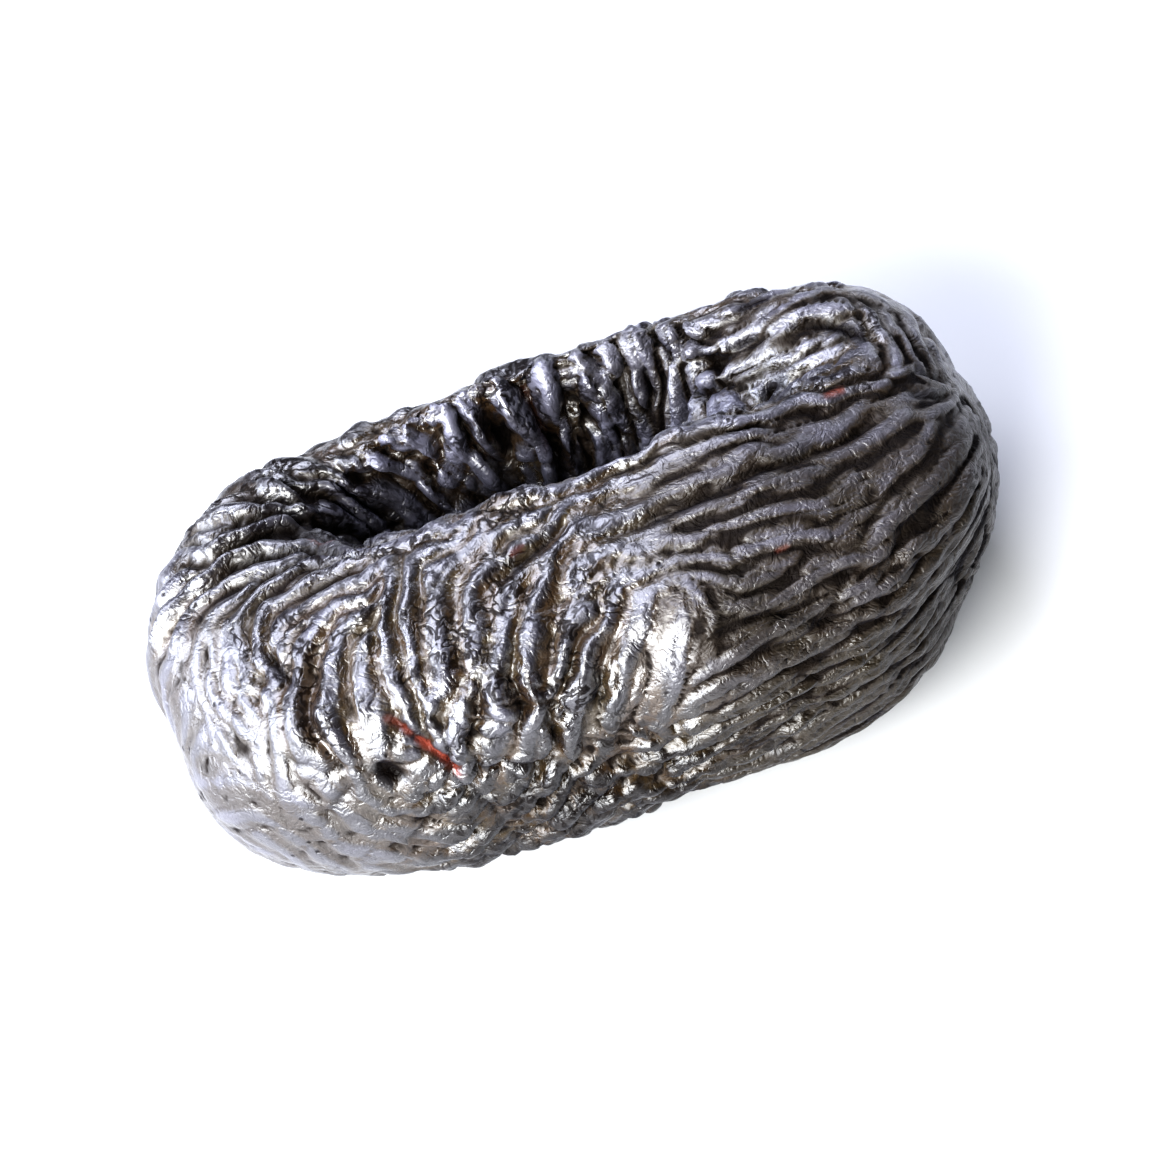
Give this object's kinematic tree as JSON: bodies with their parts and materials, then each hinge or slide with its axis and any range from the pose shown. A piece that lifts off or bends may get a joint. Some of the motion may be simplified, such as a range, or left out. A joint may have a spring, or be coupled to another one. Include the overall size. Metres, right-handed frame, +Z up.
{
  "type": "prune",
  "caption": "Pitted prune: a near-black dried fruit with glossy, deeply wrinkled skin, an open pit hollow in its top and a flat spot underneath to rest on",
  "frame": {"origin": "bottom centre of the bounding box", "axes": "+X along the fruit, from the gathered end of the pit hollow to the open end; +Y toward the thin rim; +Z up, out of the pit hollow"},
  "size_m": [0.038, 0.0208, 0.0171],
  "materials": {
    "prune_skin": "glossy, wrinkled, near-black brown dried fruit skin"
  },
  "bodies": {
    "root": {"prune": "prune_skin"}
  },
  "joints": []
}
